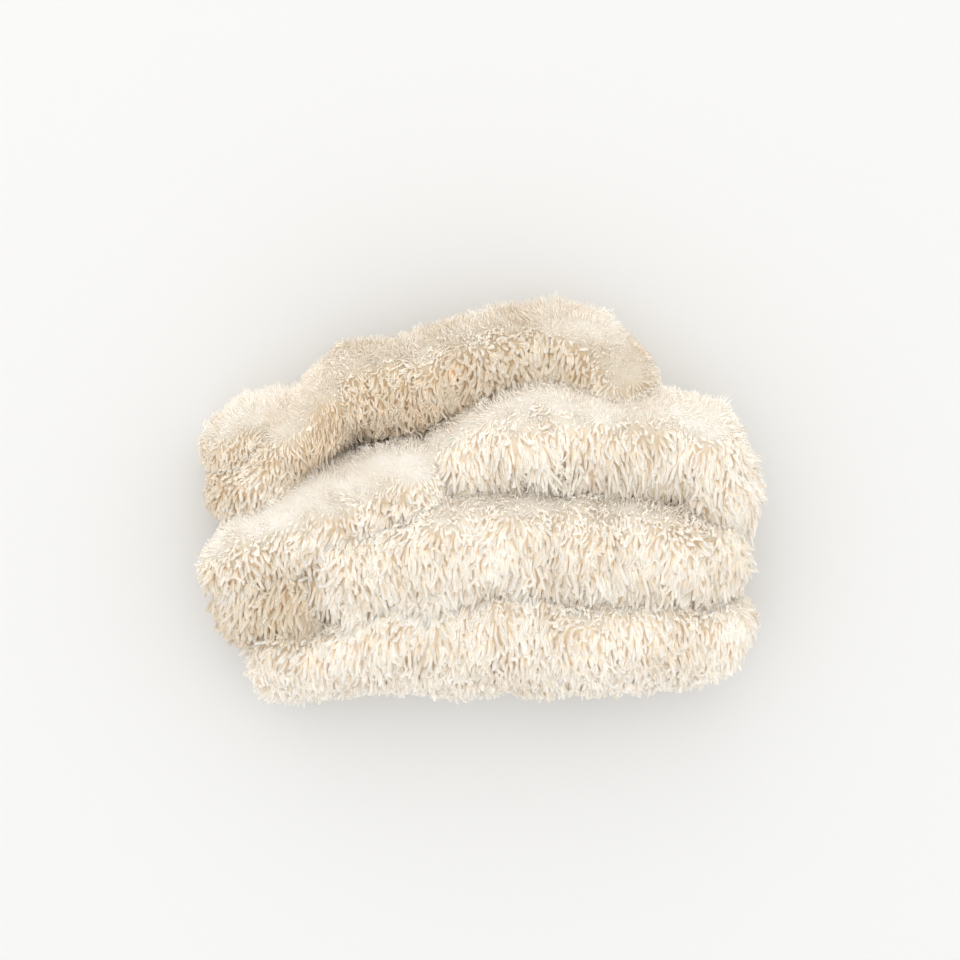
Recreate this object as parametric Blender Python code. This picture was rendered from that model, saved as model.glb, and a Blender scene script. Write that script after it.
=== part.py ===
"""A lion's mane mushroom: one fruiting body, laid on the cut where it was taken off its block.

It grew with +Y up, so its soft spines hang towards -Y, and its back faces down, -Z. The flesh is a stack of
rolls, each a row of lobes that have grown into each other. The spines are part of the flesh and cover all of
it but the cut. Metres, +Z up, and the origin is under the middle of the mushroom, on the plane of the cut.
"""

import bmesh
import bpy
from mathutils import Matrix, Vector, noise
from mathutils.bvhtree import BVHTree

MM = 0.001
DOWN_AS_IT_GREW = Vector((0.0, -1.0, 0.0))

# The lobes of the flesh, in millimetres, as (x, y, z, half width). Each is as deep as LOBE_DEPTH above and
# below its middle. The lobes of one roll stand in a row, close enough to grow together.
LOBE_DEPTH = 14.0
ROLLS = {
    "left shoulder": [(-51.0, 12.5, 13.0, 7.5), (-47.0, 15.5, 14.0, 8.0), (-41.0, 17.0, 14.0, 8.0),
                      (-50.5, 4.5, 13.0, 7.5)],
    "back ridge": [(-46.5, 5.0, 17.0, 6.3), (-42.5, 10.0, 18.5, 6.5), (-37.0, 15.5, 19.0, 7.0),
                   (-31.0, 22.0, 19.0, 8.3)],
    "back": [(-24.0, 25.0, 18.5, 9.8), (-14.0, 26.5, 18.5, 9.5), (-4.0, 29.0, 18.0, 9.3),
             (5.5, 32.0, 17.5, 9.6), (14.0, 33.0, 17.5, 9.8), (22.0, 31.5, 17.0, 9.8),
             (28.0, 26.0, 17.0, 9.8), (29.5, 18.0, 17.0, 8.6)],
    "front": [(-3.5, 10.5, 21.0, 8.5), (5.5, 13.5, 23.0, 10.5), (15.5, 15.5, 24.0, 11.0),
              (26.0, 13.5, 23.5, 10.5), (37.0, 13.5, 22.5, 11.0), (45.5, 12.5, 20.0, 10.3),
              (49.5, 3.5, 18.0, 9.3)],
    "left": [(-49.0, -11.5, 17.0, 8.7), (-45.0, -8.5, 19.0, 9.7), (-36.5, -5.0, 21.0, 10.5),
             (-26.5, 0.0, 22.0, 10.5), (-15.0, 4.0, 22.0, 10.5), (-47.0, -18.5, 16.5, 8.7),
             (-39.0, -17.5, 19.0, 9.5)],
    "belly": [(-26.0, -12.0, 22.5, 11.5), (-11.0, -8.5, 24.0, 12.0), (4.0, -6.0, 24.0, 10.5),
              (19.0, -7.5, 24.0, 12.0), (33.0, -8.5, 23.0, 11.0), (45.0, -9.5, 20.0, 10.8)],
    "beard": [(-41.5, -30.3, 14.0, 7.5), (-32.0, -29.8, 15.0, 8.2), (-17.5, -25.0, 18.5, 11.0),
              (-3.5, -26.2, 17.5, 10.5), (11.0, -24.7, 19.5, 11.8), (25.5, -26.2, 18.0, 10.8),
              (38.0, -25.3, 17.5, 10.6), (48.5, -25.0, 15.0, 9.3)],
}
# The solid heart behind the rolls, as (middle, half size) in millimetres. The cut goes through it.
HEART = [((-9.0, -3.0, 8.0), (33.0, 24.0, 18.0)), ((15.0, 1.0, 7.5), (28.0, 21.0, 17.0))]
LOBE_SMOOTHNESS = 3

# The skin over the lobes, in millimetres: first fine and softened, then in squares that carry one spine each.
FINE_SQUARE = 1.5
SOFTENING_PASSES = 5
LUMP_WIDTH, LUMP_HEIGHT = 9.0, 0.7
SPINE_SQUARE = 3.65
SQUARES_TURN = (0.61, 0.47, 0.83)

# The spines, in millimetres. They are short on the upper side of a roll, where the skin faces +Y by more than
# FACING_UP, and longest where it faces FACING_DOWN. Both are the y of the skin's outward direction.
SHORT_SPINE, LONG_SPINE = 2.0, 6.0
FACING_UP, FACING_DOWN = 0.6, -0.73
DROOP, DROOP_KEPT_UPRIGHT = 0.8, 0.5
UNEVEN, UNEVEN_WIDTH = 0.35, 3.1
SHARE_OF_A_GAP = 0.42
SKIN_CLEARANCE, FLOOR_CLEARANCE = 0.8, 0.5
TRIM, MOST_TRIMS = 0.7, 12

FLESH_COLOUR = (0.80, 0.71, 0.55, 1.0)
FLESH_ROUGHNESS = 0.75


def clear_scene():
    for obj in list(bpy.data.objects):
        bpy.data.objects.remove(obj)


def add_lobe(bm, middle, half):
    """An ellipsoid with this middle and half size, in millimetres."""
    place = Matrix.LocRotScale(Vector(middle) * MM, None, Vector(half) * MM)
    bmesh.ops.create_icosphere(bm, subdivisions=LOBE_SMOOTHNESS, radius=1.0, matrix=place)


def loose_lobes():
    """The lobes and the heart, as overlapping ellipsoids in one object."""
    bm = bmesh.new()
    for middle, half in HEART:
        add_lobe(bm, middle, half)
    for roll in ROLLS.values():
        for x, y, z, half_width in roll:
            add_lobe(bm, (x, y, z), (half_width, half_width, LOBE_DEPTH))
    mesh = bpy.data.meshes.new("lobes")
    bm.to_mesh(mesh)
    bm.free()
    return bpy.data.objects.new("lobes", mesh)


def wrap(obj, square):
    """Wraps the object in one closed skin of squares of this width, in millimetres."""
    skin = obj.modifiers.new("skin", "REMESH")
    skin.mode = "VOXEL"
    skin.voxel_size = square * MM


def settled(obj):
    """The object's mesh with its modifiers applied. The object is removed."""
    bpy.context.scene.collection.objects.link(obj)
    graph = bpy.context.evaluated_depsgraph_get()
    mesh = bpy.data.meshes.new_from_object(obj.evaluated_get(graph))
    bpy.data.objects.remove(obj)
    return mesh


def flesh():
    """One soft skin over all the lobes, with the shallow lumps that the flesh has."""
    lobes = loose_lobes()
    wrap(lobes, FINE_SQUARE)
    lobes.modifiers.new("soften", "SMOOTH").iterations = SOFTENING_PASSES
    mesh = settled(lobes)
    for vertex in mesh.vertices:
        lump = noise.noise(vertex.co / (LUMP_WIDTH * MM)) * LUMP_HEIGHT
        vertex.co += vertex.normal * lump * MM
    return mesh


def in_squares(mesh):
    """The skin in squares for the spines, turned so that their rows follow no axis."""
    x_turn, y_turn, z_turn = SQUARES_TURN
    turn = Matrix.Rotation(z_turn, 4, "Z") @ Matrix.Rotation(x_turn, 4, "X") @ Matrix.Rotation(y_turn, 4, "Y")
    mesh.transform(turn)
    skin = bpy.data.objects.new("skin", mesh)
    wrap(skin, SPINE_SQUARE)
    squares = settled(skin)
    squares.transform(turn.inverted())
    return squares


def cut_flat(bm):
    """Takes away what is below the cut, z = 0, and closes it. Returns the faces of the cut."""
    flesh_parts = bm.verts[:] + bm.edges[:] + bm.faces[:]
    made = bmesh.ops.bisect_plane(bm, geom=flesh_parts, plane_no=(0.0, 0.0, -1.0), clear_outer=True)
    rim = [part for part in made["geom_cut"] if isinstance(part, bmesh.types.BMEdge)]
    return bmesh.ops.contextual_create(bm, geom=rim)["faces"]


def spine_way(facing):
    """The way a spine points: out of the flesh, and drooping the way it hung as it grew."""
    droop = DROOP * (1.0 - DROOP_KEPT_UPRIGHT * abs(facing.y))
    return (facing + DOWN_AS_IT_GREW * droop).normalized()


def spine_length(foot, facing):
    """Short on the upper side of a roll, long where it hangs, and uneven from place to place."""
    hanging = min(max((FACING_UP - facing.y) / (FACING_UP - FACING_DOWN), 0.0), 1.0)
    uneven = 1.0 + UNEVEN * noise.noise(foot / (UNEVEN_WIDTH * MM))
    return (SHORT_SPINE + (LONG_SPINE - SHORT_SPINE) * hanging) * uneven * MM


def within_room(skin, foot, facing, way, length):
    """The length, less where the spine would meet the next roll or the surface that the mushroom lies on."""
    gap = skin.ray_cast(foot + facing * SKIN_CLEARANCE * MM, way)[3]
    if gap is not None:
        length = min(length, gap * SHARE_OF_A_GAP)
    if way.z < 0.0:
        height = max(foot.z - FLOOR_CLEARANCE * MM, 0.0)
        length = min(length, height / -way.z)
    return length


def grow_spines(bm, cut):
    """Raises each square of the skin to a spine. Returns the spines as {tip: foot}."""
    bm.normal_update()
    skin = BVHTree.FromBMesh(bm)
    rim = {vertex for face in cut for vertex in face.verts}
    squares = [face for face in bm.faces if face not in cut and not rim & set(face.verts)]
    plans = []
    for square in squares:
        foot, facing = square.calc_center_median(), square.normal.copy()
        way = spine_way(facing)
        length = within_room(skin, foot, facing, way, spine_length(foot, facing))
        plans.append((foot, foot + way * length))
    spines = {}
    for square, (foot, end) in zip(squares, plans):
        tip = bmesh.ops.poke(bm, faces=[square])["verts"][0]
        tip.co = end
        spines[tip] = foot
    return spines


def crossing(bm, spines):
    """The tips of the spines that run into each other."""
    bm.faces.ensure_lookup_table()
    tree = BVHTree.FromBMesh(bm)
    found = set()
    for a, b in tree.overlap(tree):
        first, second = set(bm.faces[a].verts), set(bm.faces[b].verts)
        if a < b and not first & second:
            found |= {vertex for vertex in first | second if vertex in spines}
    return found


def part_spines(bm, spines):
    """Trims the spines that run into each other until none does."""
    for _ in range(MOST_TRIMS):
        tips = crossing(bm, spines)
        if not tips:
            return
        for tip in tips:
            tip.co = spines[tip].lerp(tip.co, TRIM)


def centre(mesh):
    """Moves the mesh along the surface that it lies on, so that its box has its middle over the origin."""
    xs = [vertex.co.x for vertex in mesh.vertices]
    ys = [vertex.co.y for vertex in mesh.vertices]
    middle = Vector((min(xs) + max(xs), min(ys) + max(ys), 0.0)) / 2.0
    mesh.transform(Matrix.Translation(-middle))


def flesh_material():
    material = bpy.data.materials.new("mushroom_flesh")
    material.use_nodes = True
    shader = material.node_tree.nodes["Principled BSDF"]
    shader.inputs["Base Color"].default_value = FLESH_COLOUR
    shader.inputs["Roughness"].default_value = FLESH_ROUGHNESS
    shader.inputs["Metallic"].default_value = 0.0
    return material


def add_fruiting_body():
    mesh = in_squares(flesh())
    bm = bmesh.new()
    bm.from_mesh(mesh)
    cut = cut_flat(bm)
    spines = grow_spines(bm, cut)
    part_spines(bm, spines)
    bmesh.ops.recalc_face_normals(bm, faces=bm.faces)
    bm.to_mesh(mesh)
    bm.free()
    centre(mesh)
    mesh.name = "fruiting_body"
    mesh.materials.append(flesh_material())
    body = bpy.data.objects.new("fruiting_body", mesh)
    bpy.context.scene.collection.objects.link(body)


clear_scene()
add_fruiting_body()
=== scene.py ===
"""The looks of one lion's mane mushroom, laid on the cut where it was taken off its block.

As in the solid, +Z is up, and the mushroom grew with +Y up, so that its spines hang towards -Y.
"""

import bmesh
import bpy
import numpy as np
from mathutils import Matrix, Vector, noise
from mathutils.bvhtree import BVHTree
from mathutils.kdtree import KDTree


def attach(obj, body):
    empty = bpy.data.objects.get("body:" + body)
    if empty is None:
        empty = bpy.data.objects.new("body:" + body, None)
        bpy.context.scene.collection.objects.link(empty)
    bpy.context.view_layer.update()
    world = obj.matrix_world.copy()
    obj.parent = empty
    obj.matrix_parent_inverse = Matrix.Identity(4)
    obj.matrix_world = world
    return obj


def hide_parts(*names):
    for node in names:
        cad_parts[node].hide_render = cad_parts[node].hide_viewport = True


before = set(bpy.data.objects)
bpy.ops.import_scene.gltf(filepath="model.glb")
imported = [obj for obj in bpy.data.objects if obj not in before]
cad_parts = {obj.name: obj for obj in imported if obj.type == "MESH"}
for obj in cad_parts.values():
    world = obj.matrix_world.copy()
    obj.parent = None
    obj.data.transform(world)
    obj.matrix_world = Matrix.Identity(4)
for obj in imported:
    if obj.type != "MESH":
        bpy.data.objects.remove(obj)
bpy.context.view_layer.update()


# --- The flesh ----------------------------------------------------------------------------------------------
# The real flesh is a firm, pale sponge that grew as rows of lobes. They have fused into rolls, and the rolls
# into one body. It is cut flat where it sat on its block, and the cut shows the same flesh, dense and damp.

MM = 0.001

# The lobes of each roll, in millimetres, as (x, y, z, half width). A roll is listed in stretches where its
# spines change along it, and a stretch may begin with the last lobe of the one before.
ROLLS = {
    "left_shoulder": [(-51.0, 12.5, 13.0, 7.5), (-47.0, 15.5, 14.0, 8.0), (-41.0, 17.0, 14.0, 8.0)],
    "left_hollow": [(-50.5, 4.5, 13.0, 7.5), (-46.5, 5.0, 17.0, 6.3), (-42.5, 10.0, 18.5, 6.5)],
    "back_ridge": [(-42.5, 10.0, 18.5, 6.5), (-37.0, 15.5, 19.0, 7.0), (-31.0, 22.0, 19.0, 8.3)],
    "back_left": [(-24.0, 25.0, 18.5, 9.8), (-14.0, 26.5, 18.5, 9.5), (-4.0, 29.0, 18.0, 9.3)],
    "back": [(-4.0, 29.0, 18.0, 9.3), (5.5, 32.0, 17.5, 9.6), (14.0, 33.0, 17.5, 9.8),
             (22.0, 31.5, 17.0, 9.8)],
    "back_end": [(22.0, 31.5, 17.0, 9.8), (28.0, 26.0, 17.0, 9.8), (29.5, 18.0, 17.0, 8.6)],
    "front": [(-3.5, 10.5, 21.0, 8.5), (5.5, 13.5, 23.0, 10.5), (15.5, 15.5, 24.0, 11.0),
              (26.0, 13.5, 23.5, 10.5), (37.0, 13.5, 22.5, 11.0), (45.5, 12.5, 20.0, 10.3),
              (49.5, 3.5, 18.0, 9.3)],
    "left": [(-49.0, -11.5, 17.0, 8.7), (-45.0, -8.5, 19.0, 9.7), (-36.5, -5.0, 21.0, 10.5),
             (-26.5, 0.0, 22.0, 10.5), (-15.0, 4.0, 22.0, 10.5)],
    "left_flank": [(-47.0, -18.5, 16.5, 8.7), (-39.0, -17.5, 19.0, 9.5)],
    "belly": [(-26.0, -12.0, 22.5, 11.5), (-11.0, -8.5, 24.0, 12.0), (4.0, -6.0, 24.0, 10.5),
              (19.0, -7.5, 24.0, 12.0), (33.0, -8.5, 23.0, 11.0), (45.0, -9.5, 20.0, 10.8)],
    "beard": [(-41.5, -30.3, 14.0, 7.5), (-32.0, -29.8, 15.0, 8.2), (-17.5, -25.0, 18.5, 11.0),
              (-3.5, -26.2, 17.5, 10.5), (11.0, -24.7, 19.5, 11.8), (25.5, -26.2, 18.0, 10.8),
              (38.0, -25.3, 17.5, 10.6), (48.5, -25.0, 15.0, 9.3)],
}
LOBE_HALF_DEPTH = 14.0
# The solid heart behind the rolls, as (middle, half size) in millimetres.
HEART = [((-9.0, -3.0, 8.0), (33.0, 24.0, 18.0)), ((15.0, 1.0, 7.5), (28.0, 21.0, 17.0))]
# The solid's box has its middle over the origin, which moved all lobes by this much, in millimetres.
CENTRING = Vector((-0.157, -0.002, 0.0))
# Each lobe is joined to the next by lobes at these shares of the way.
ON_THE_WAY = (0.25, 0.5, 0.75)


def add_lobe(bm, middle, half):
    place = Matrix.LocRotScale((Vector(middle) + CENTRING) * MM, None, Vector(half) * MM)
    bmesh.ops.create_icosphere(bm, subdivisions=4, radius=1.0, matrix=place)


def grown_together(roll):
    """The flesh that joins each lobe of a roll to the next, as lobes between them."""
    return [tuple(a + (b - a) * share for a, b in zip(lobe, next_lobe))
            for lobe, next_lobe in zip(roll, roll[1:]) for share in ON_THE_WAY]


def settled(mesh, modifiers):
    """The mesh after these modifiers, each given as (kind, settings)."""
    holder = bpy.data.objects.new(mesh.name, mesh)
    bpy.context.scene.collection.objects.link(holder)
    for kind, settings in modifiers:
        modifier = holder.modifiers.new(kind, kind)
        for name, value in settings.items():
            setattr(modifier, name, value)
    graph = bpy.context.evaluated_depsgraph_get()
    after = bpy.data.meshes.new_from_object(holder.evaluated_get(graph))
    bpy.data.objects.remove(holder)
    return after


# The skin over the lobes, in squares of this many millimetres, and its lumps, as (width, height).
SKIN_SQUARE, SOFTENING_PASSES = 1.0, 9
LUMPS = ((11.0, 1.3), (5.0, 0.5))


def flesh_mesh():
    """The heart and the lobes under one skin, with soft joins and small lumps."""
    bm = bmesh.new()
    for middle, half in HEART:
        add_lobe(bm, middle, half)
    for roll in ROLLS.values():
        for lobe in roll + grown_together(roll):
            add_lobe(bm, lobe[:3], (lobe[3], lobe[3], LOBE_HALF_DEPTH))
    lobes = bpy.data.meshes.new("lobes")
    bm.to_mesh(lobes)
    bm.free()
    mesh = settled(lobes, [("REMESH", {"mode": "VOXEL", "voxel_size": SKIN_SQUARE * MM}),
                           ("SMOOTH", {"iterations": SOFTENING_PASSES})])
    pushes = []
    for vertex in mesh.vertices:
        lump = sum(noise.noise(vertex.co / (width * MM)) * height for width, height in LUMPS)
        pushes.append(vertex.normal * lump * MM)
    for vertex, push in zip(mesh.vertices, pushes):
        vertex.co += push
    return mesh


# So many smoothing passes take the rolls off the body, and the crests are measured from what is left.
BODY_PASSES = 120


def mark_crests(mesh):
    """Keeps how far each point stands out of the smoothed body, in millimetres, as the attribute crest."""
    body = settled(mesh, [("SMOOTH", {"iterations": BODY_PASSES})])
    crest = mesh.attributes.new("crest", "FLOAT", "POINT")
    for mark, vertex, on_body in zip(crest.data, mesh.vertices, body.vertices):
        mark.value = (vertex.co - on_body.co).dot(vertex.normal) / MM


def cut_flat(mesh):
    """Takes away what is below z = 0 and closes the cut, which gets the mesh's second material."""
    bm = bmesh.new()
    bm.from_mesh(mesh)
    parts = bm.verts[:] + bm.edges[:] + bm.faces[:]
    made = bmesh.ops.bisect_plane(bm, geom=parts, plane_no=(0.0, 0.0, -1.0), clear_outer=True)
    rim = [part for part in made["geom_cut"] if isinstance(part, bmesh.types.BMEdge)]
    for face in bm.faces:
        face.smooth = True
    for face in bmesh.ops.contextual_create(bm, geom=rim)["faces"]:
        face.material_index, face.smooth = 1, False
    bmesh.ops.recalc_face_normals(bm, faces=bm.faces)
    bm.to_mesh(mesh)
    bm.free()


# Without a seed of its own, the noise would be another one in each run.
NOISE_SEED = 4
noise.seed_set(NOISE_SEED)
# Each drift below has a number, and reads the noise that many of these steps away from where it starts.
DRIFT_STEP = (13.7, 7.1, 3.3)


def drift(points, width, number):
    """A smooth random vector at each point, that turns over in about this many millimetres."""
    shift = Vector([number * step for step in DRIFT_STEP])
    flat = points.reshape(-1, 3) / (width * MM)
    return np.array([noise.noise_vector(Vector(point) + shift) for point in flat]).reshape(points.shape)


def for_each_lobe(table):
    """What the table says of each roll, once for each of the roll's lobes."""
    return np.array([table[name] for name, roll in ROLLS.items() for _ in roll])


# A lobe's hold over the points round it falls off with this power. Height counts less, as lobes are deep.
HOLD_POWER, HEIGHT_COUNTS = 8.0, 0.7


def nearness_to_lobes(points):
    """How near each point is to each lobe, as weights that add up to one."""
    lobes = np.array([lobe for roll in ROLLS.values() for lobe in roll])
    middles = (lobes[:, :3] + np.array(CENTRING)) * MM
    halves = lobes[:, 3] * MM
    away = np.linalg.norm((points[:, None] - middles) * [1.0, 1.0, HEIGHT_COUNTS], axis=2) / halves
    weights = away ** -HOLD_POWER
    return weights / weights.sum(1, keepdims=True)


# A tone is 0 where the flesh is fresh and white, and 1 where it is peach, as old flesh turns. Towards 0.6 it
# is painted shade, a greyer tan: the rolls further back and the flanks, which face away from the light, have
# higher tones. Each roll has one tone for its crest and one for its flank, and both drift by up to
# TONE_UNEVEN.
ROLL_SHADE_AND_TONES = {
    "left_shoulder": (0.08, 0.50), "left_hollow": (0.27, 0.62), "back_ridge": (0.19, 0.50),
    "back_left": (0.30, 0.52), "back": (0.26, 0.56), "back_end": (0.14, 0.42), "front": (0.00, 0.12),
    "left": (0.00, 0.30), "left_flank": (0.25, 0.58), "belly": (0.02, 0.15), "beard": (0.02, 0.10),
}
TONE_UNEVEN, TONE_DRIFT = 0.22, (9.0, 9)
# Just under 1, so that each tone falls on one of the strips of the spines' map.
MOST_TONE = 0.999
# The peach spots, in millimetres, as (middle, width, strength).
PEACH_SPOTS = (
    ((32.5, 32.0, 20.0), 5.0, 0.55), ((-44.5, 15.0, 20.0), 4.0, 0.45), ((26.0, 22.0, 20.0), 3.0, 0.35),
    ((-10.0, 33.0, 26.0), 2.0, 0.40), ((6.0, 9.0, 28.0), 2.0, 0.40), ((43.0, 14.0, 28.0), 1.6, 0.45),
)


def tone_at(points, near, hanging):
    """The tone of each point: that of the rolls near it, with a drift over the body and the peach spots."""
    of_crest, of_flank = for_each_lobe(ROLL_SHADE_AND_TONES).T
    tone = near @ of_crest + (near @ (of_flank - of_crest)) * hanging
    tone += TONE_UNEVEN * drift(points, *TONE_DRIFT)[:, 1]
    for middle, width, strength in PEACH_SPOTS:
        apart = np.linalg.norm(points / MM - np.array(middle), axis=1)
        tone += strength * np.exp(-(apart / width) ** 2)
    return np.clip(tone, 0.0, MOST_TONE)


# The back of a crest has only velvet. The spines of a roll begin to hang where its skin faces +Y by less than
# this, and hang fully HANGING_SPAN below it. A crest that stands out keeps its velvet a little longer.
HANGS_FROM = {"left_shoulder": 0.75, "left_hollow": 1.10, "back_ridge": 0.75, "back_left": 1.10, "back": 1.15,
              "back_end": 0.60, "front": 0.95, "left": 0.65, "left_flank": 1.20, "belly": 1.15, "beard": 1.05}
HANGING_SPAN, VELVET_PER_CREST = 1.25, 0.05


def ease(values):
    """From 0 to 1 with a soft start and a soft end, as the values go from 0 to 1."""
    values = np.clip(values, 0.0, 1.0)
    return values * values * (3.0 - 2.0 * values)


def hanging_at(facings, crest, near):
    """How far the spines hang: from 0, where they are velvet, to 1, where they are long."""
    starts = near @ for_each_lobe(HANGS_FROM)
    return ease((starts - facings[:, 1] - crest * VELVET_PER_CREST) / HANGING_SPAN)


mesh = flesh_mesh()
mark_crests(mesh)
cut_flat(mesh)
points = np.array([vertex.co for vertex in mesh.vertices])
facings = np.array([vertex.normal for vertex in mesh.vertices])
crest = np.array([mark.value for mark in mesh.attributes["crest"].data])
near = nearness_to_lobes(points)
hanging = hanging_at(facings, crest, near)
mesh.attributes.new("tone", "FLOAT", "POINT").data.foreach_set("value", tone_at(points, near, hanging))
mesh.attributes.new("hanging", "FLOAT", "POINT").data.foreach_set("value", hanging)
flesh = bpy.data.objects.new("flesh", mesh)
bpy.context.scene.collection.objects.link(flesh)


def linear(hex_colour):
    """The linear colour of an sRGB hex colour."""
    channels = [int(hex_colour[i:i + 2], 16) / 255 for i in (1, 3, 5)]
    return (*(c / 12.92 if c <= 0.04045 else ((c + 0.055) / 1.055) ** 2.4 for c in channels), 1.0)


def add_node(tree, kind, inputs, stops=(), **settings):
    """A node with these settings. Each input is given a socket to read or a value, and a ramp its stops."""
    node = tree.nodes.new(kind)
    for name, value in settings.items():
        setattr(node, name, value)
    for name, value in inputs.items():
        if isinstance(value, bpy.types.NodeSocket):
            tree.links.new(value, node.inputs[name])
        else:
            node.inputs[name].default_value = value
    while stops and len(node.color_ramp.elements) < len(stops):
        node.color_ramp.elements.new(1.0)
    for index, (position, colour) in enumerate(stops):
        element = node.color_ramp.elements[index]
        element.position, element.color = position, linear(colour)
    return node


def new_material(name, **inputs):
    """A material whose shader has these inputs: the material, its node tree and the shader."""
    made = bpy.data.materials.new(name)
    made.use_nodes = True
    shader = made.node_tree.nodes["Principled BSDF"]
    for socket, value in inputs.items():
        shader.inputs[socket.replace("_", " ")].default_value = value
    return made, made.node_tree, shader


def shaded_and_tinted(tree, colour, tone, share=1.0):
    """The colour, darkened with the tone to a painted-shade grey tan and then turned peach, by this share."""
    # The grey tan at 0.6 is painted shade; the peach at the top is old flesh's own colour.
    tint = add_node(tree, "ShaderNodeValToRGB", {"Fac": tone},
                    ((0.0, "#ffffff"), (0.6, "#dacdb7"), (0.8, "#ecdac4"), (1.0, "#fad2b5")))
    mixed = add_node(tree, "ShaderNodeMix", {0: share, 6: colour, 7: tint.outputs["Color"]}, data_type="RGBA",
                     blend_type="MULTIPLY")
    return mixed.outputs[2]


# Matt and finely pored, so that it reads as a dry sponge. It is white under the velvet and painted tan
# between the hanging spines, as painted shade where little light gets in. Blotches break up the change.
def flesh_material():
    blotch, pore, pore_depth = 5.0 * MM, 0.5 * MM, 0.3 * MM
    made, tree, shader = new_material("mushroom_flesh", Roughness=0.8, Specular_IOR_Level=0.3,
                                      Sheen_Weight=0.4)
    place = add_node(tree, "ShaderNodeTexCoord", {}).outputs["Object"]
    hanging = add_node(tree, "ShaderNodeAttribute", {}, attribute_name="hanging").outputs["Fac"]
    blotches = add_node(tree, "ShaderNodeTexNoise", {"Vector": place, "Scale": 1.0 / blotch, "Detail": 4.0})
    mixed = add_node(tree, "ShaderNodeMath", {0: blotches.outputs["Fac"], 1: -0.5}, operation="ADD")
    share = add_node(tree, "ShaderNodeMath", {0: hanging, 1: mixed.outputs[0]}, operation="ADD")
    # Painted shade: the flesh turns tan where the spines hang over it.
    colour = add_node(tree, "ShaderNodeValToRGB", {"Fac": share.outputs[0]},
                      ((0.3, "#fff9ef"), (0.6, "#fff3e0"), (0.9, "#ffecd0")))
    tone = add_node(tree, "ShaderNodeAttribute", {}, attribute_name="tone").outputs["Fac"]
    pores = add_node(tree, "ShaderNodeTexNoise", {"Vector": place, "Scale": 1.0 / pore, "Detail": 3.0})
    bump = add_node(tree, "ShaderNodeBump",
                    {"Height": pores.outputs["Fac"], "Strength": 0.6, "Distance": pore_depth})
    tree.links.new(shaded_and_tinted(tree, colour.outputs["Color"], tone), shader.inputs["Base Color"])
    tree.links.new(bump.outputs["Normal"], shader.inputs["Normal"])
    return made


# Smoother and a little damp, with faint clouds of denser flesh, so that it reads as a clean cut.
def cut_material():
    cloud, thread, thread_depth = 7.0 * MM, 0.8 * MM, 0.1 * MM
    made, tree, shader = new_material("cut_flesh", Roughness=0.45, Specular_IOR_Level=0.4)
    place = add_node(tree, "ShaderNodeTexCoord", {}).outputs["Object"]
    clouds = add_node(tree, "ShaderNodeTexNoise", {"Vector": place, "Scale": 1.0 / cloud, "Detail": 5.0})
    colour = add_node(tree, "ShaderNodeValToRGB", {"Fac": clouds.outputs["Fac"]},
                      ((0.35, "#fbf6ea"), (0.55, "#f5ebd6"), (0.7, "#ecdcbc")))
    tree.links.new(colour.outputs["Color"], shader.inputs["Base Color"])
    threads = add_node(tree, "ShaderNodeTexNoise", {"Vector": place, "Scale": 1.0 / thread, "Detail": 3.0})
    bump = add_node(tree, "ShaderNodeBump",
                    {"Height": threads.outputs["Fac"], "Strength": 0.3, "Distance": thread_depth})
    tree.links.new(bump.outputs["Normal"], shader.inputs["Normal"])
    return made


mesh.materials.append(flesh_material())
mesh.materials.append(cut_material())
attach(flesh, "root")
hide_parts("fruiting_body")


# --- The spines ---------------------------------------------------------------------------------------------
# The real spines are the same soft flesh, solid and blunt, and each grew down from its own spot in the skin.
# They are velvet on the back of a crest, and get longer and thicker towards its flank, where they hang close.
# Here the velvet, the long spines and those under an overhang are one piece each for every roll.

RANDOM_SEED = 11
rng = np.random.default_rng(RANDOM_SEED)
DOWN_AS_IT_GREW = np.array([0.0, -1.0, 0.0])


def unit(vectors):
    return vectors / np.maximum(np.linalg.norm(vectors, axis=-1, keepdims=True), 1e-12)


def read(layer, name, kind, count, width):
    """The values with this name in a mesh's layer, as an array of so many rows of this width."""
    values = np.empty(count * width, kind)
    layer.foreach_get(name, values)
    return values.reshape(count, width) if width > 1 else values


def places_on(mesh, count):
    """Random places on the skin: where, which way the skin faces there, and how far its spines hang."""
    mesh.calc_loop_triangles()
    triangles = mesh.loop_triangles
    corners = read(triangles, "vertices", np.int32, len(triangles), 3)
    slots = read(mesh.polygons, "material_index", np.int32, len(mesh.polygons), 1)
    corners = corners[slots[read(triangles, "polygon_index", np.int32, len(triangles), 1)] == 0]
    where = read(mesh.vertices, "co", np.float32, len(mesh.vertices), 3).astype(float)[corners]
    facing = read(mesh.vertices, "normal", np.float32, len(mesh.vertices), 3).astype(float)[corners]
    hanging = read(mesh.attributes["hanging"].data, "value", np.float32, len(mesh.vertices), 1)[corners]
    areas = np.linalg.norm(np.cross(where[:, 1] - where[:, 0], where[:, 2] - where[:, 0]), axis=1)
    picked = rng.choice(len(areas), count, p=areas / areas.sum())
    share = rng.dirichlet((1.0, 1.0, 1.0), count)
    return ((where[picked] * share[..., None]).sum(1), unit((facing[picked] * share[..., None]).sum(1)),
            (hanging[picked] * share).sum(1))


def spread_out(places, gaps):
    """The indices of the places that are left when each keeps its gap clear of the later ones."""
    tree = KDTree(len(places))
    for index, place in enumerate(places):
        tree.insert(place, index)
    tree.balance()
    free, kept = bytearray(b"\1") * len(places), []
    for index, (place, gap) in enumerate(zip(places.tolist(), gaps.tolist())):
        if free[index]:
            kept.append(index)
            for _, other, _ in tree.find_range(place, gap):
                free[other] = 0
    return np.array(kept)


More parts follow.
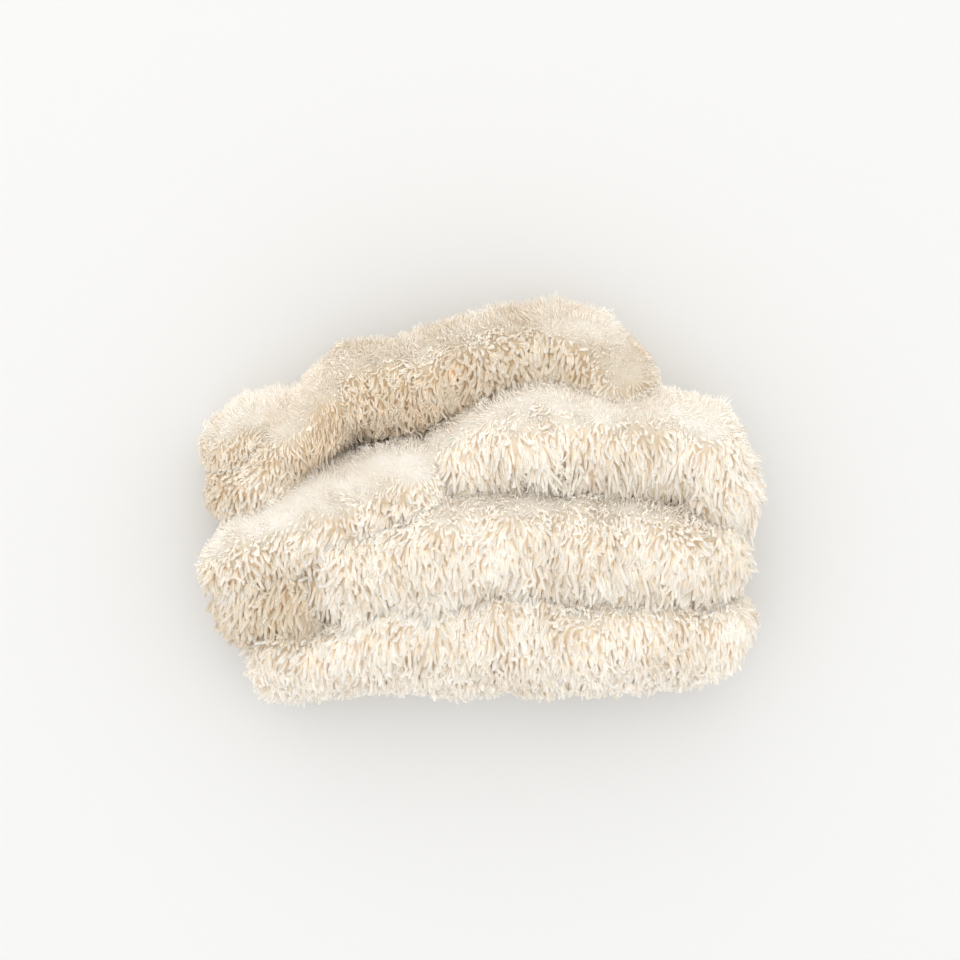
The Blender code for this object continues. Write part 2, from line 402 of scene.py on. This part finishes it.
# The spines of each roll: the length of its velvet and of its longest spines and the half width of those, in
# millimetres, and how curly, tufted, far apart and upright they are.
HABITS = {
    "left_shoulder": (1.4, 2.2, 0.36, 0.8, 0.20, 0.94, 0.80),
    "left_hollow": (1.2, 1.7, 0.38, 1.0, 0.40, 1.00, 1.50),
    "back_ridge": (1.0, 1.8, 0.13, 0.6, 0.00, 0.54, 0.40),
    "back_left": (1.4, 3.2, 0.29, 1.9, 0.20, 0.84, 0.40),
    "back": (1.5, 3.0, 0.52, 0.8, 0.10, 1.08, 0.58),
    "back_end": (1.4, 2.0, 0.30, 0.8, 0.10, 1.00, 0.50),
    "front": (1.4, 4.2, 0.39, 0.7, 0.06, 0.96, 0.32),
    "left": (1.3, 4.0, 0.41, 0.8, 0.08, 1.00, 0.40),
    "left_flank": (1.4, 4.0, 0.41, 1.1, 0.12, 1.02, 0.50),
    "belly": (1.4, 4.2, 0.42, 0.8, 0.08, 1.02, 0.40),
    "beard": (1.3, 3.8, 0.42, 0.9, 0.12, 1.02, 0.45),
}
# The column of the habits that says how far apart the spines are.
GAP_COLUMN = 5
# The gap round a spine, in millimetres: in the velvet, on a flank, and under an overhang, which is where the
# skin faces up by less than UNDER_FROM. It is widest from WIDEST_FROM of hanging on, and the habits scale it.
VELVET_GAP, FLANK_GAP, UNDER_GAP = 0.43, 0.70, 0.80
UNDER_FROM, WIDEST_FROM = -0.25, 0.9
# The gaps shrink by up to this share where the skin faces down as it grew.
CLOSER, CLOSER_FROM, CLOSER_SPAN = 0.18, 0.4, 0.4
# How far neighbours hang differs by about this much halfway, and not at all for velvet and the longest.
HANGING_UNEVEN, UNEVEN_RISE = 0.10, 4.0
PLACES_TRIED = 330_000

places, facings, hanging = places_on(mesh, PLACES_TRIED)
uneven_hanging = rng.normal(0.0, HANGING_UNEVEN, len(hanging))
hanging += uneven_hanging * ease(hanging * UNEVEN_RISE) * (1.0 - hanging)
hanging = np.clip(hanging, 0.0, 1.0)
under = facings[:, 2] < UNDER_FROM
gaps = VELVET_GAP + (np.where(under, UNDER_GAP, FLANK_GAP) - VELVET_GAP) * ease(hanging / WIDEST_FROM)
gaps *= 1.0 - CLOSER * ease((-facings[:, 1] - CLOSER_FROM) / CLOSER_SPAN)
# Where the gaps are wide, fewer places have to be tried.
chosen = rng.random(len(gaps)) < (VELVET_GAP / gaps) ** 2
places, facings, hanging, under, gaps = (each[chosen] for each in (places, facings, hanging, under, gaps))
near = nearness_to_lobes(places)
habits = near @ for_each_lobe(HABITS)
kept = spread_out(places, gaps * habits[:, GAP_COLUMN] * MM)
places, facings, hanging, under, near = (each[kept] for each in (places, facings, hanging, under, near))
velvet_by, long_by, thick_by, curl_by, tuft_by, _, stand_by = habits[kept].T
roll_of = for_each_lobe({name: name for name in ROLLS})[near.argmax(axis=1)]


# A turn of the rings about the spine, so that no side of it is seen edge on in the spines' map.
RING_TURN = 0.17


def spine_template(sides, widths):
    """One spine of unit width, with each ring one higher than the last: its points and its faces."""
    bm = bmesh.new()
    bmesh.ops.create_circle(bm, segments=sides, radius=widths[0])
    bmesh.ops.rotate(bm, verts=bm.verts, matrix=Matrix.Rotation(RING_TURN, 3, "Z"))
    rim = bm.edges[:]
    bmesh.ops.contextual_create(bm, geom=rim)
    for width, next_width in zip(widths, widths[1:]):
        made = bmesh.ops.extrude_edge_only(bm, edges=rim)["geom"]
        ring = [part for part in made if isinstance(part, bmesh.types.BMVert)]
        rim = [part for part in made if isinstance(part, bmesh.types.BMEdge) and set(part.verts) <= set(ring)]
        bmesh.ops.translate(bm, verts=ring, vec=(0.0, 0.0, 1.0))
        bmesh.ops.scale(bm, verts=ring, vec=(next_width / width, next_width / width, 1.0))
    end = bmesh.ops.contextual_create(bm, geom=rim)["faces"]
    tip = bmesh.ops.poke(bm, faces=end)["verts"][0]
    tip.co.z += 1.0
    bmesh.ops.recalc_face_normals(bm, faces=bm.faces)
    bm.verts.index_update()
    points = np.array([vertex.co for vertex in bm.verts])
    # Sorted, because extruding lists the faces in another order in each run.
    faces = sorted([vertex.index for vertex in face.verts] for face in bm.faces)
    bm.free()
    return points, faces


def turned(ways, axes, angles):
    """The directions, each turned about its axis."""
    angles = angles[:, None]
    along = (ways * axes).sum(1, keepdims=True) * axes
    return ways * np.cos(angles) + np.cross(axes, ways) * np.sin(angles) + along * (1.0 - np.cos(angles))


# A spine sets off out of the skin, from ROOT_DEPTH millimetres below it. It swirls with its neighbours, leans
# down as it grew and is a little loose, both more so where it hangs. On its way it sags, curls and wanders.
ROOT_DEPTH = 0.4
LEAN, LEAN_HANGING = 0.15, 0.9
LOOSE, LOOSE_HANGING = 0.08, 0.12
SWIRL, SWIRL_DRIFT = 0.7, (8.0, 4)
SAG, CURL = 0.8, 1.1
WANDER, WANDER_DRIFT = 1.3, (2.6, 5)


def grow(roots, facings, hanging, lengths, stand, curl, stations):
    """The middle lines of the spines: (spines, stations, 3)."""
    count = len(roots)
    swirl = drift(roots, *SWIRL_DRIFT)
    swirl -= (swirl * facings).sum(1, keepdims=True) * facings
    cling = np.clip(1.0 - stand, 0.0, 1.0)[:, None]
    down = DOWN_AS_IT_GREW - facings * (facings @ DOWN_AS_IT_GREW)[:, None] * cling
    lean = (LEAN + LEAN_HANGING * hanging)[:, None]
    loose = (LOOSE + LOOSE_HANGING * hanging)[:, None]
    way = unit(facings * stand[:, None] + down * lean + swirl * SWIRL
               + rng.normal(0.0, 1.0, (count, 3)) * loose)
    axis = unit(np.cross(way, rng.normal(0.0, 1.0, (count, 3))))
    rate = rng.normal(0.0, CURL, count) * curl
    line = [roots - facings * ROOT_DEPTH * MM]
    for start, end in zip(stations, stations[1:]):
        share = end - start
        here = line[-1] + way * (lengths * share)[:, None]
        line.append(here)
        way = turned(way, axis, rate * share)
        sag = down * (SAG * hanging[:, None])
        wander = drift(here, *WANDER_DRIFT) * WANDER * curl[:, None]
        way = unit(way + (sag + wander) * share)
    return np.stack(line, axis=1)


# The middles of two tufts are at least this far apart. A tuft pulls by its roll's habit times 0.4 to 1.2.
TUFT_WIDTH = 2.4 * MM
LEAST_PULL, MORE_PULL = 0.4, 0.8


def gather(lines, stations, tuft):
    """Draws the tips of neighbouring spines together into tufts, by as much as tuft says."""
    roots = lines[:, 0]
    order = rng.permutation(len(roots))
    heads = order[spread_out(roots[order], np.full(len(roots), TUFT_WIDTH))]
    tree = KDTree(len(heads))
    for index, head in enumerate(heads):
        tree.insert(roots[head], index)
    tree.balance()
    mine = heads[np.array([tree.find(root)[1] for root in roots])]
    pull = (tuft * (LEAST_PULL + MORE_PULL * rng.random(len(roots))))[mine]
    for station, share in enumerate(stations):
        head = lines[mine, station]
        lines[:, station] = head + (lines[:, station] - head) * (1.0 - pull * share * share)[:, None]
    return lines


# How far the middle line of a spine stays off the skin and the floor, in millimetres.
SKIN_CLEARANCE, FLOOR_CLEARANCE = 0.1, 0.6


def keep_off(lines, tree, stations, layer):
    """Lifts the lines out of the flesh, and off the surface that the mushroom lies on."""
    for spine, over in zip(lines, layer):
        for station in range(1, len(stations)):
            spot = Vector(spine[station])
            found, out, _, _ = tree.find_nearest(spot)
            lack = (SKIN_CLEARANCE + over * stations[station]) * MM - (spot - found).dot(out)
            if lack > 0:
                spine[station] += np.array(out) * lack
    lines[..., 2] = np.maximum(lines[..., 2], FLOOR_CLEARANCE * MM)
    return lines


# The UV map has one upright strip for each of so many tones, with the roots at its foot and the tips at its
# head. A spine reaches this share of a strip to either side, and its root face has a small spot at the foot.
TONES = 24
HALF_STRIP = 0.46
ROOT_SPOT, ROOT_SPOT_SIZE = 0.04, 0.03
# Gives a spine that stands straight out of the skin a side to start its rings from.
ASIDE = 0.01


def spines_mesh(name, lines, radius, facings, tones, paleness, template, stations):
    """The template once along each line, joined in one mesh. There are too many to make one by one."""
    points, faces = template
    ring = points[:, 2].round().astype(int)
    along = unit(np.gradient(lines, axis=1))
    side = unit(np.cross(along[:, 0], facings + ASIDE))
    sides = []
    for station in range(lines.shape[1]):
        side = unit(side - (side * along[:, station]).sum(1, keepdims=True) * along[:, station])
        sides.append(side)
    sides = np.stack(sides, axis=1)
    across = points[:, :1] * sides[:, ring] + points[:, 1:2] * np.cross(along, sides)[:, ring]
    verts = lines[:, ring] + across * radius[:, None, None]
    count = len(lines)
    sizes = np.array([len(face) for face in faces])
    corners = np.concatenate(faces)
    starts = np.concatenate([[0], np.cumsum(sizes)[:-1]])
    every = np.arange(count)[:, None]
    mesh = bpy.data.meshes.new(name)
    mesh.vertices.add(count * len(points))
    mesh.vertices.foreach_set("co", verts.astype(np.float32).ravel())
    mesh.loops.add(count * len(corners))
    mesh.loops.foreach_set("vertex_index", (corners + every * len(points)).astype(np.int32).ravel())
    mesh.polygons.add(count * len(sizes))
    mesh.polygons.foreach_set("loop_start", (starts + every * len(corners)).astype(np.int32).ravel())
    mesh.polygons.foreach_set("use_smooth", np.ones(count * len(sizes), bool))
    widest = np.abs(points[:, 0]).max()
    u = (tones[:, None] + 0.5 + HALF_STRIP * points[corners, 0] / widest) / TONES
    at_root = np.repeat([ring[face].max() == 0 for face in faces], sizes)
    in_spot = ROOT_SPOT + ROOT_SPOT_SIZE * points[corners, 1] / widest
    v = np.where(at_root, in_spot, np.array(stations)[ring[corners]])
    v = paleness[:, None] + (1.0 - paleness[:, None]) * v
    layer = mesh.uv_layers.new(name="OFBake")
    layer.data.foreach_set("uv", np.stack([u, v], axis=-1).astype(np.float32).ravel())
    mesh.update(calc_edges=True)
    return mesh


# Most of the light goes in, and spreads furthest inside where it is red. The tone, partly painted shade,
# fades towards the tips.
LIGHT_LET_IN = 0.9
RED_GREEN_BLUE_SPREAD = (1.0, 0.9, 0.8)
TONE_LOST = 0.3


# Painted warm at the root and white at the tip. The warm root is painted light, a bright tan glow in the
# shaded gaps between spines, and the greyer tips of the long spines are painted shade on their highlights.
# Its colours are those at the root, on the way and at the tip. The light that it lets through makes it look
# soft and moist.
def spine_material(name, reach, sheen, *colours):
    made, tree, shader = new_material(name, Roughness=0.6, Specular_IOR_Level=0.3, Sheen_Weight=sheen,
                                      Subsurface_Weight=LIGHT_LET_IN, Subsurface_Scale=reach,
                                      Subsurface_Radius=RED_GREEN_BLUE_SPREAD)
    shader.subsurface_method = "BURLEY"
    spot = add_node(tree, "ShaderNodeUVMap", {}, uv_map="OFBake").outputs["UV"]
    parts = add_node(tree, "ShaderNodeSeparateXYZ", {"Vector": spot})
    along = add_node(tree, "ShaderNodeValToRGB", {"Fac": parts.outputs["Y"]},
                     tuple(zip((0.05, 0.4, 0.8), colours)))
    share = add_node(tree, "ShaderNodeMath", {0: parts.outputs["Y"], 1: -TONE_LOST, 2: 1.0},
                     operation="MULTIPLY_ADD")
    tree.links.new(shaded_and_tinted(tree, along.outputs["Color"], parts.outputs["X"], share.outputs[0]),
                   shader.inputs["Base Color"])
    return made


# Each kind of spine: how far along it its rings and its tip are, and its template.
KINDS = {
    "velvet": ((0.0, 0.5, 0.86, 1.0), spine_template(3, (1.0, 0.95, 0.7))),
    "long": ((0.0, 0.32, 0.65, 0.93, 1.0), spine_template(5, (0.85, 1.0, 1.0, 0.72))),
    "under": ((0.0, 0.35, 0.7, 0.94, 1.0), spine_template(4, (0.9, 1.0, 0.95, 0.62))),
}
# Velvet, up to this much of hanging, is a piece of its own, and is gathered by this much whatever the roll.
VELVET_TO, VELVET_TUFT = 0.22, 0.25
# A roll with fewer spines of a kind than this has no piece of it.
FEWEST = 30
# Lengths differ from place to place and from spine to spine, and the velvet has a finer pile of its own. The
# spines under an overhang stay short, and those on skin that faces up as it grew, behind a crest, are longer.
UNEVEN, UNEVEN_DRIFT = 0.45, (4.0, 3)
LEAST_LENGTH, MOST_LENGTH = 0.75, 1.2
PILE, PILE_DRIFT = 0.6, (1.6, 6)
LONGEST_UNDER = 3.0 * MM
LONGER_BEHIND, BEHIND_RISE, BEHIND_START = 0.6, 3.0, 1.8
# Half widths in millimetres. A spine is as thick as its roll's habit from this much of hanging on.
VELVET_HALF_WIDTH, THICK_FROM = 0.10, 0.8
LEAST_WIDTH, MOST_WIDTH = 0.85, 1.2
VELVET_STANDS, HANGING_STANDS = 0.9, 0.7
# The tips of hanging spines lie over each other, from so low to so high off the skin, in millimetres.
LOWEST_TIP, HIGHEST_TIP = 0.2, 1.2
SPINE_TONE_UNEVEN = 0.10
# Velvet shows only the pale upper part of a spine's colours, so the shade between its hairs is painted
# lighter.
PALENESS, PALE_UP_TO, PALE_SPAN = 0.55, 0.15, 0.6

bm = bmesh.new()
bm.from_mesh(mesh)
flesh_tree = BVHTree.FromBMesh(bm)
bm.free()

count = len(places)
uneven = (1.0 + UNEVEN * drift(places, *UNEVEN_DRIFT)[:, 0]) * rng.uniform(LEAST_LENGTH, MOST_LENGTH, count)
pile = 1.0 + PILE * drift(places, *PILE_DRIFT)[:, 0] * (1.0 - hanging)
length_of = (velvet_by + (long_by - velvet_by) * hanging) * uneven * pile * MM
length_of = np.where(under, np.minimum(length_of, LONGEST_UNDER), length_of)
length_of *= 1.0 + LONGER_BEHIND * ease(facings[:, 1] * BEHIND_RISE - BEHIND_START)
width_of = VELVET_HALF_WIDTH + (thick_by - VELVET_HALF_WIDTH) * ease(hanging / THICK_FROM)
width_of = width_of * rng.uniform(LEAST_WIDTH, MOST_WIDTH, count) * MM
stand_of = VELVET_STANDS + (HANGING_STANDS * stand_by - VELVET_STANDS) * hanging
layer_of = rng.uniform(LOWEST_TIP, HIGHEST_TIP, count) * hanging * stand_by
tone_of = tone_at(places, near, hanging) + rng.normal(0.0, SPINE_TONE_UNEVEN, count)
tone_of = np.clip(tone_of, 0.0, MOST_TONE)
paleness_of = PALENESS * (1.0 - ease((hanging - PALE_UP_TO) / PALE_SPAN))
kind_of = np.where(hanging < VELVET_TO, "velvet", np.where(under, "under", "long"))
# Warm roots are painted light in the shaded gaps, and the long spines' greyer tips painted shade.
# The velvet is too thin to carry light far. The long spines glow into each other.
velvet_looks = spine_material("velvet_spines", 0.4 * MM, 0.1, "#fff3de", "#fff9ef", "#fffbf5")
spine_looks = spine_material("hanging_spines", 0.9 * MM, 0.3, "#fff4e2", "#f5efe4", "#edeae4")

for kind, (stations, template) in KINDS.items():
    where = np.flatnonzero(kind_of == kind)
    lines = grow(places[where], facings[where], hanging[where], length_of[where], stand_of[where],
                 curl_by[where], stations)
    lines = gather(lines, stations, np.where(kind == "velvet", VELVET_TUFT, tuft_by[where]))
    lines = keep_off(lines, flesh_tree, stations, layer_of[where])
    tones = (tone_of[where] * TONES).astype(int)
    for name in ROLLS:
        mine = roll_of[where] == name
        if mine.sum() < FEWEST:
            continue
        part = spines_mesh(f"spines_{name}_{kind}", lines[mine], width_of[where][mine], facings[where][mine],
                           tones[mine], paleness_of[where][mine], template, stations)
        piece = bpy.data.objects.new(f"spines_{name}_{kind}", part)
        bpy.context.scene.collection.objects.link(piece)
        part.materials.append(velvet_looks if kind == "velvet" else spine_looks)
        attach(piece, "root")
        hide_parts("fruiting_body")


# --- The floor, the lights and the camera -------------------------------------------------------------------
# The floor is plain and pale, under soft light from all round, with a little more from above and from beyond
# the back. The camera looks straight down, as it did for the photograph.

FLOOR_HALF_WIDTH = 1.5
bm = bmesh.new()
bmesh.ops.create_grid(bm, x_segments=1, y_segments=1, size=FLOOR_HALF_WIDTH)
floor = bpy.data.objects.new("floor", bpy.data.meshes.new("floor"))
bm.to_mesh(floor.data)
bm.free()
bpy.context.scene.collection.objects.link(floor)
# Nearly white and matt, so that only the soft shadow shows on it.
floor.data.materials.append(new_material("pale_floor", Roughness=0.8, Base_Color=linear("#f3f3f2"))[0])

LIGHT_ALL_ROUND = 0.94
world = bpy.data.worlds.new("studio")
bpy.context.scene.world = world
world.use_nodes = True
world.node_tree.nodes["Background"].inputs["Color"].default_value = linear("#ffffff")
world.node_tree.nodes["Background"].inputs["Strength"].default_value = LIGHT_ALL_ROUND


def add_light(name, place, size, watts, colour):
    """A soft, square light at this place, of this size in metres, turned towards the mushroom."""
    light = bpy.data.lights.new(name, "AREA")
    light.size, light.energy, light.color = size, watts, linear(colour)[:3]
    lamp = bpy.data.objects.new(name, light)
    lamp.location = place
    lamp.rotation_euler = (-Vector(place)).to_track_quat("-Z", "Y").to_euler()
    bpy.context.scene.collection.objects.link(lamp)


add_light("key", (-0.08, 0.12, 1.1), 1.2, 1.6, "#fffdf9")
add_light("back", (-0.25, 0.95, 0.45), 1.0, 0.9, "#fffdf9")
# Light goes from spine to spine many times before it leaves, which keeps the gaps between them bright.
bpy.context.scene.cycles.max_bounces = 24
bpy.context.scene.cycles.diffuse_bounces = 16

# The photograph's scale holds at the height PLANE, and the origin of the frame shows at ORIGIN_PIXEL in it.
PHOTO_PIXELS = 960
MM_PER_PIXEL = 0.2076
ORIGIN_PIXEL = (480.0, 509.0)
LENS, SENSOR = 135.0, 36.0
PLANE = 30.0 * MM
view_width = PHOTO_PIXELS * MM_PER_PIXEL * MM
camera = bpy.data.objects.new("camera", bpy.data.cameras.new("camera"))
camera.data.lens, camera.data.sensor_width = LENS, SENSOR
camera.data.clip_start = 0.01
middle = PHOTO_PIXELS / 2
camera.location = ((middle - ORIGIN_PIXEL[0]) * MM_PER_PIXEL * MM,
                   (ORIGIN_PIXEL[1] - middle) * MM_PER_PIXEL * MM,
                   PLANE + view_width / 2 / (SENSOR / 2 / LENS))
bpy.context.scene.collection.objects.link(camera)
bpy.context.scene.camera = camera
bpy.context.scene.view_settings.view_transform = "Standard"
